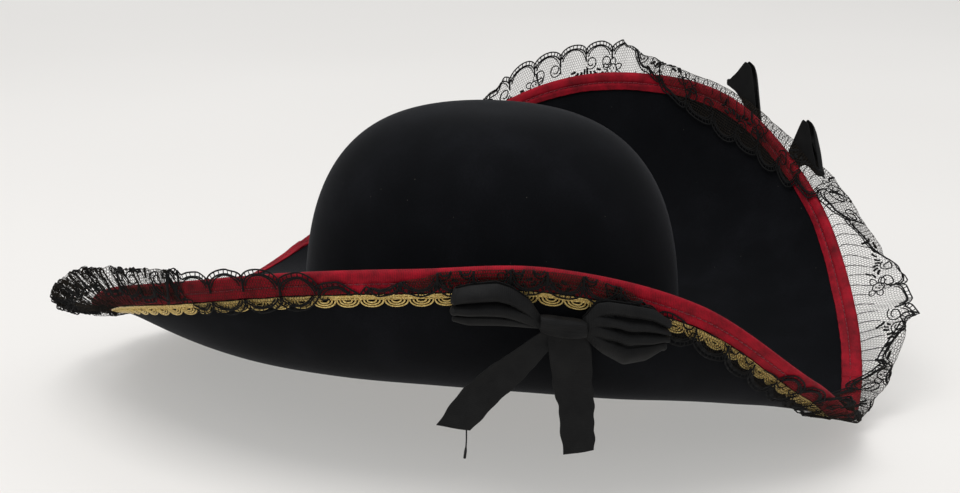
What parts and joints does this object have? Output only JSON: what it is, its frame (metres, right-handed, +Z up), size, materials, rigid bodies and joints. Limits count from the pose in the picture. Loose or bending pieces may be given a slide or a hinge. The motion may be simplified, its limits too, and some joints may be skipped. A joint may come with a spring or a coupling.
{
  "type": "pirate hat",
  "caption": "Black felt cocked hat with a domed crown, brim turned up at both sides, crimson edge tape, gold braid, black lace and ribbon bows.",
  "frame": {"origin": "centre of the head opening, at the line where the crown meets the brim", "axes": "+Z up through the crown, -Y towards the front point of the brim, +X towards the wearer's left"},
  "size_m": [0.3599, 0.4352, 0.166],
  "materials": {
    "felt": "matte wool felt",
    "steel_wire": "satin",
    "crimson_tape": "low-sheen woven tape",
    "crimson_thread": "matte thread",
    "gold_braid": "metallic thread",
    "black_lace": "matte thread",
    "sweatband": "matte ribbed ribbon",
    "tan_thread": "matte thread",
    "satin_ribbon": "satin weave",
    "black_thread": "matte thread"
  },
  "bodies": {
    "hat": {"crown": "felt", "brim_front": "felt", "brim_left": "felt", "brim_rear": "felt", "brim_right": "felt", "brim_wire": "steel_wire", "edge_binding": "crimson_tape", "binding_stitching": "crimson_thread", "gold_braid": "gold_braid", "lace_front_left": "black_lace", "lace_rear_left": "black_lace", "lace_rear_right": "black_lace", "lace_front_right": "black_lace", "sweatband": "sweatband", "head_stitching": "tan_thread", "right_bow_front_loop": "satin_ribbon", "right_bow_rear_loop": "satin_ribbon", "right_bow_knot": "satin_ribbon", "right_bow_tack": "black_thread", "left_bow_front_loop": "satin_ribbon", "left_bow_rear_loop": "satin_ribbon", "left_bow_knot": "satin_ribbon", "left_bow_tack": "black_thread"},
    "right_front_tail": {"right_bow_front_tail": "satin_ribbon"},
    "right_rear_tail": {"right_bow_rear_tail": "satin_ribbon"},
    "left_front_tail": {"left_bow_front_tail": "satin_ribbon"},
    "left_rear_tail": {"left_bow_rear_tail": "satin_ribbon"}
  },
  "joints": [
    {"name": "right_front_tail_swing", "type": "hinge", "parent": "hat", "child": "right_front_tail", "pos_m": [-0.15205, -0.09136, 0.04311], "axis": [-0.515, 0.8572, 0], "range_deg": [-8, 75]},
    {"name": "right_rear_tail_swing", "type": "hinge", "parent": "hat", "child": "right_rear_tail", "pos_m": [-0.15205, -0.09136, 0.04311], "axis": [-0.515, 0.8572, 0], "range_deg": [-8, 75]},
    {"name": "left_front_tail_swing", "type": "hinge", "parent": "hat", "child": "left_front_tail", "pos_m": [0.14501, -0.11329, 0.04392], "axis": [-0.6157, -0.788, 0], "range_deg": [-8, 75]},
    {"name": "left_rear_tail_swing", "type": "hinge", "parent": "hat", "child": "left_rear_tail", "pos_m": [0.14501, -0.11329, 0.04392], "axis": [-0.6157, -0.788, 0], "range_deg": [-8, 75]}
  ]
}
